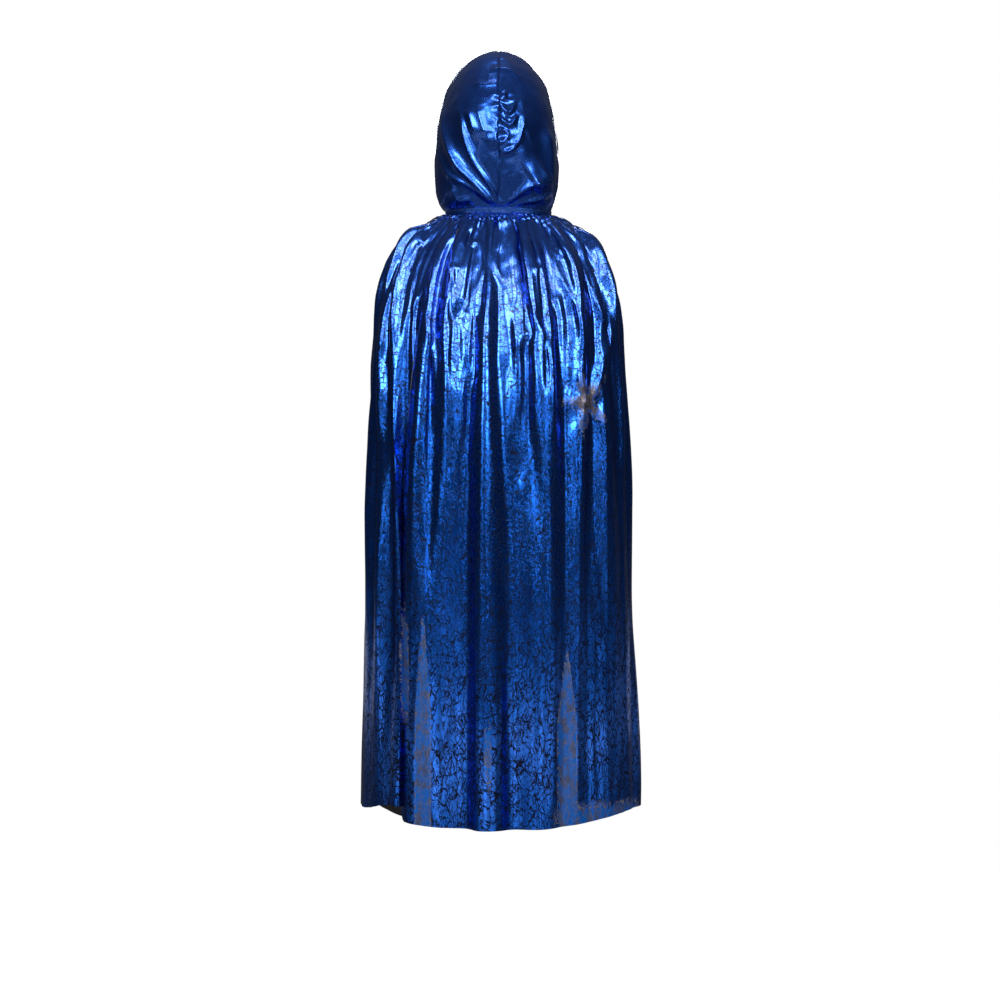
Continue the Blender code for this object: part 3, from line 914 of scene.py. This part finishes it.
hood, across, up = draped_hood()
hood_cut = np.stack([across * HOOD_CUT_HALF + HOOD_CUT_PLACE, up * HOOD_CUT_HEIGHT], axis=-1)
middle = HOOD_COLUMNS // 2
seam_strip = trim("hood_centre_seam", hood, hood_cut, slice(2, HOOD_ROWS - 2),
                  slice(middle - SEAM_COLUMNS, middle + SEAM_COLUMNS + 1), "hood", foil)
for side, half, edge, row in (
    ("left", slice(0, middle + 1), slice(0, FACING_COLUMNS), FACING_COLUMNS - 1),
    ("right", slice(middle, HOOD_COLUMNS), slice(HOOD_COLUMNS - FACING_COLUMNS, HOOD_COLUMNS),
     HOOD_COLUMNS - FACING_COLUMNS),
):
    cloth = panel(f"hood_{side}_panel", hood[:, half], hood_cut[:, half], 0 * up[:, half], "hood")
    sewn = [trim(f"hood_{side}_face_hem", hood, hood_cut, slice(0, HOOD_ROWS), edge, "hood", foil)]
    sewn.append(stitch_row(f"hood_{side}_stitches", hood, slice(0, HOOD_ROWS), row, "hood"))
    if side == "left":
        sewn.append(seam_strip)

# ---- the neck -----------------------------------------------------------------------------------

neck_end = math.pi - math.asin(FRONT_GAP_NECK / 2 / NECK_HALF_WIDTH)
round_neck = np.linspace(neck_end, -neck_end, BAND_COLUMNS)
band, band_grid = neck_strip("neck_band", round_neck, BAND_HEIGHT / 2, BAND_HEIGHT, 0.0, CLOTH,
                             [foil, reverse], "cape_back")
taped, _ = neck_strip("neck_tape", round_neck, BAND_HEIGHT / 2, TAPE_HEIGHT, -TAPE_INSET, CLOTH,
                      [tape], "cape_back")
for name, row in (("band_top_stitches", 1), ("band_foot_stitches", STRIP_ROWS - 2)):
    stitch_row(name, band_grid, row, slice(0, BAND_COLUMNS), "cape_back")
patch = np.linspace(math.pi + PATCH_END, math.pi + PATCH_START, PATCH_COLUMNS)
neck_strip("loop_patch", patch, BAND_HEIGHT / 2, PATCH_HEIGHT, PATCH_THICK + PATCH_GAP,
           PATCH_THICK, [pile], "cape_back")
hooked, _ = neck_strip("hook_patch", patch, BAND_HEIGHT / 2, PATCH_HEIGHT,
                       2 * PATCH_THICK + 2 * PATCH_GAP, PATCH_THICK, [hooks], "closure_tab")
tab_turns = np.linspace(math.pi + TAB_TURN, math.pi - TAB_TURN, TAB_COLUMNS)
to_band = smooth(0.45, 0.85, np.linspace(0, 1, TAB_COLUMNS))
tab_out = mix(2 * PATCH_THICK + TAB_OVER_HOOKS, TAB_OVER_BAND, to_band)
tab, tab_grid = neck_strip("neck_tab", tab_turns, BAND_HEIGHT / 2, TAB_HEIGHT, tab_out, TAB_THICK,
                           [foil, reverse], "closure_tab")
for name, row in (("tab_top_stitches", 1), ("tab_foot_stitches", STRIP_ROWS - 2)):
    stitch_row(name, tab_grid, row, slice(2, TAB_COLUMNS - 2), "closure_tab")

# ---- stage --------------------------------------------------------------------------------------

def soft_light(name, place, width, height, power, aim):
    """A soft box that the foil reflects and the camera doesn't see."""
    data = bpy.data.lights.new(name, "AREA")
    data.shape = "RECTANGLE"
    data.size, data.size_y = width, height
    data.energy = power
    data.spread = LIGHT_SPREAD
    made = bpy.data.objects.new(name, data)
    made.location = place
    made.rotation_euler = (Vector(aim) - Vector(place)).to_track_quat("-Z", "Y").to_euler()
    made.visible_camera = False
    bpy.context.scene.collection.objects.link(made)


def add_floor():
    """A pale floor that glows, is duller where the foil reflects it, and fades into the backdrop."""
    bpy.ops.mesh.primitive_circle_add(vertices=96, radius=6, fill_type="NGON", location=FLOOR_MIDDLE)
    floor = bpy.context.object
    floor.name = "floor"
    n = Nodes("pale_floor")
    place = n.new("ShaderNodeTexCoord").outputs["Object"]
    far = n.new("ShaderNodeVectorMath", {"operation": "LENGTH"})
    n.put(far, "0", place)
    shown = n.math("SUBTRACT", 1.0, n.step(far.outputs["Value"], 1.9, 3.1))
    colour = n.mix(n.noise(place, 3.0, 3.0).outputs["Fac"], (0.80, 0.80, 0.81), (0.84, 0.84, 0.84))
    seen = n.new("ShaderNodeLightPath").outputs["Is Camera Ray"]
    colour = n.mix(seen, FLOOR_DULL, colour)
    glow = n.math("MULTIPLY_ADD", seen, FLOOR_SHINE - FLOOR_GLOW, FLOOR_GLOW)
    floor.data.materials.append(n.shade(
        Base_Color=colour, Roughness=0.6, Alpha=shown, Emission_Color=colour, Emission_Strength=glow,
    ))


def add_world():
    """White behind the object, and dim where the foil reflects it, with a paler ceiling."""
    world = bpy.data.worlds.new("studio")
    world.use_nodes = True
    tree = world.node_tree
    backdrop = tree.nodes["Background"]
    backdrop.inputs["Color"].default_value = (1, 1, 1, 1)
    dim = tree.nodes.new("ShaderNodeBackground")
    ramp = tree.nodes.new("ShaderNodeValToRGB")
    ramp.color_ramp.elements[0].position = 0.2
    ramp.color_ramp.elements[0].color = (*STUDIO_DIM, 1)
    ramp.color_ramp.elements[1].position = 0.9
    ramp.color_ramp.elements[1].color = (*STUDIO_CEILING, 1)
    way = tree.nodes.new("ShaderNodeTexCoord")
    height = tree.nodes.new("ShaderNodeSeparateXYZ")
    tree.links.new(way.outputs["Generated"], height.inputs[0])
    tree.links.new(height.outputs["Z"], ramp.inputs[0])
    tree.links.new(ramp.outputs[0], dim.inputs["Color"])
    path = tree.nodes.new("ShaderNodeLightPath")
    choose = tree.nodes.new("ShaderNodeMixShader")
    tree.links.new(path.outputs["Is Camera Ray"], choose.inputs[0])
    tree.links.new(dim.outputs[0], choose.inputs[1])
    tree.links.new(backdrop.outputs[0], choose.inputs[2])
    tree.links.new(choose.outputs[0], tree.nodes["World Output"].inputs["Surface"])
    bpy.context.scene.world = world


def add_low_cards():
    """A ring of low, wide cards round the wearer, which light the hem."""
    middle = FLOOR_MIDDLE[2] + LOW_CARD_HEIGHT / 2
    width = 2 * math.pi * LOW_CARD_FAR / LOW_CARDS
    for i in range(LOW_CARDS):
        angle = 2 * math.pi * i / LOW_CARDS
        place = (LOW_CARD_FAR * math.sin(angle), LOW_CARD_FAR * math.cos(angle), middle)
        power = LOW_CARD_POWER * max(math.cos(angle), LOW_CARD_LEAST)
        soft_light(f"low_card_{i}", place, width, LOW_CARD_HEIGHT, power, (0, 0, middle))


def add_camera():
    """A camera that looks level at the wearer's back."""
    data = bpy.data.cameras.new("camera")
    data.lens = LENS
    camera = bpy.data.objects.new("camera", data)
    camera.location = CAMERA_PLACE
    camera.rotation_euler = (math.pi / 2, 0, math.pi)
    bpy.context.scene.collection.objects.link(camera)
    bpy.context.scene.camera = camera


add_floor()
add_world()
for light in LIGHTS:
    soft_light(*light)
add_low_cards()
bpy.context.scene.view_settings.view_transform = "Standard"
add_camera()
